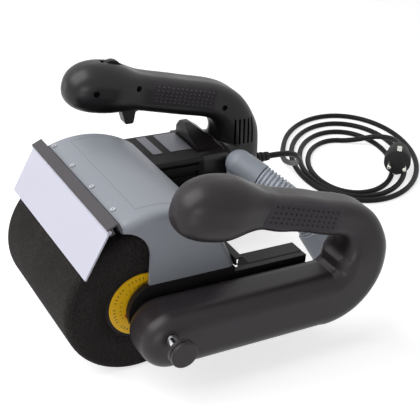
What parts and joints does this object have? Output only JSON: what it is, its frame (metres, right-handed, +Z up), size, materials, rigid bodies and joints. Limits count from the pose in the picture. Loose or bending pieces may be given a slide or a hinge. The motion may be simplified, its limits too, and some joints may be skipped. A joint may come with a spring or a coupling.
{
  "type": "drum polisher",
  "caption": "Two-handled electric drum polisher: foam drum under a grey hood, side motor with trigger handle, release pin, hinged deflector plate, dust hose and coiled mains cord.",
  "frame": {"origin": "middle of the machine's base, on the surface that it stands on, without hose end and cord", "axes": "+Z up, X along the drum's axis towards the release pin, -Y towards the deflector plate"},
  "size_m": [0.5069, 0.6383, 0.2155],
  "materials": {
    "foam": "open-cell foam, matte",
    "drum_plastic": "moulded",
    "yellow_disc": "printed sheet",
    "steel": "machined",
    "zinc_screw": "bright zinc",
    "chrome": "polished",
    "bronze": "sintered",
    "laminated_iron": "stacked sheet",
    "copper": "enamelled wire",
    "carbon": "pressed carbon",
    "brass": "stamped",
    "black_plastic": "fine texture",
    "grey_paint": "satin coat",
    "dark_paint": "satin coat",
    "white_plate": "smooth",
    "black_rubber": "matte",
    "cast_grey": "cast, coated dark",
    "grey_plastic": "moulded",
    "grey_hose": "ribbed",
    "black_cord": "smooth sheath"
  },
  "bodies": {
    "machine": {"drive_shaft_bearing": "steel", "motor_bearings": "steel", "arm_bolts": "steel", "pivot_pins": "steel", "release_spring": "steel", "trigger_spring": "steel", "panel_screws": "zinc_screw", "hood_side_screws": "zinc_screw", "motor_screws": "zinc_screw", "handle_screws": "zinc_screw", "release_pin_bush": "bronze", "stator_stack": "laminated_iron", "field_coils": "copper", "carbon_brushes": "carbon", "brush_holders": "brass", "plug_pins": "brass", "motor_housing": "black_plastic", "near_handle_inner_shell": "black_plastic", "near_handle_outer_shell": "black_plastic", "motor_handle_inner_shell": "black_plastic", "motor_handle_outer_shell": "black_plastic", "switch_module": "black_plastic", "dust_duct": "black_plastic", "wiring_cover": "black_plastic", "hood": "grey_paint", "front_channel": "dark_paint", "rear_channel": "dark_paint", "near_side_plate": "dark_paint", "far_side_plate": "dark_paint", "near_bracket": "dark_paint", "motor_leg": "dark_paint", "rubber_feet": "black_rubber", "strain_relief": "black_rubber", "plug_body": "black_rubber", "gear_housing": "cast_grey", "gear_cover": "cast_grey", "hose_elbow": "grey_plastic", "hose_end_cuff": "grey_plastic", "dust_hose": "grey_hose", "cord_lead": "black_cord", "cord_coil": "black_cord"},
    "drum": {"drum_sleeve": "foam", "drum_core": "drum_plastic", "drum_label_disc": "yellow_disc", "drum_key": "steel", "drive_shaft": "steel", "pilot_bush": "bronze", "crown_gear": "steel"},
    "armature": {"pinion_gear": "steel", "armature_shaft": "steel", "armature_core": "laminated_iron", "armature_winding_heads": "copper", "commutator": "copper", "cooling_fan": "black_plastic"},
    "deflector": {"deflector_plate": "white_plate"},
    "rear_flap": {"rear_flap": "black_rubber"},
    "release": {"release_pin": "chrome", "release_cap": "black_plastic"},
    "trigger": {"trigger": "black_plastic"},
    "speed_wheel": {"speed_wheel": "black_plastic"}
  },
  "joints": [
    {"name": "drum_spin", "type": "hinge", "parent": "machine", "child": "drum", "pos_m": [0.0055, -0.09426, 0.07], "axis": [1, 0, 0], "continuous": true},
    {"name": "armature_spin", "type": "hinge", "parent": "machine", "child": "armature", "pos_m": [-0.1225, -0.00426, 0.07], "axis": [0, 1, 0], "continuous": true},
    {"name": "deflector_swing", "type": "hinge", "parent": "machine", "child": "deflector", "pos_m": [0.0055, -0.13146, 0.1542], "axis": [-1, 0, 0], "range_deg": [0, 70]},
    {"name": "rear_flap_swing", "type": "hinge", "parent": "machine", "child": "rear_flap", "pos_m": [0.0055, -0.00406, 0.098], "axis": [1, 0, 0], "range_deg": [0, 20]},
    {"name": "release_pull", "type": "slide", "parent": "machine", "child": "release", "axis": [1, 0, 0], "range_m": [0, 0.012], "stiffness_N_per_m": 700, "deforming": ["release_spring"]},
    {"name": "trigger_squeeze", "type": "hinge", "parent": "machine", "child": "trigger", "pos_m": [-0.1225, 0.00374, 0.17], "axis": [-1, 0, 0], "range_deg": [0, 9], "stiffness_Nm_per_rad": 0.6, "deforming": ["trigger_spring"]},
    {"name": "speed_wheel_turn", "type": "hinge", "parent": "machine", "child": "speed_wheel", "pos_m": [-0.1225, -0.03626, 0.2045], "axis": [1, 0, 0], "range_deg": [-130, 130]}
  ],
  "couplings": [
    {"joint": "armature_spin", "follows": "drum_spin", "ratio": -3}
  ]
}
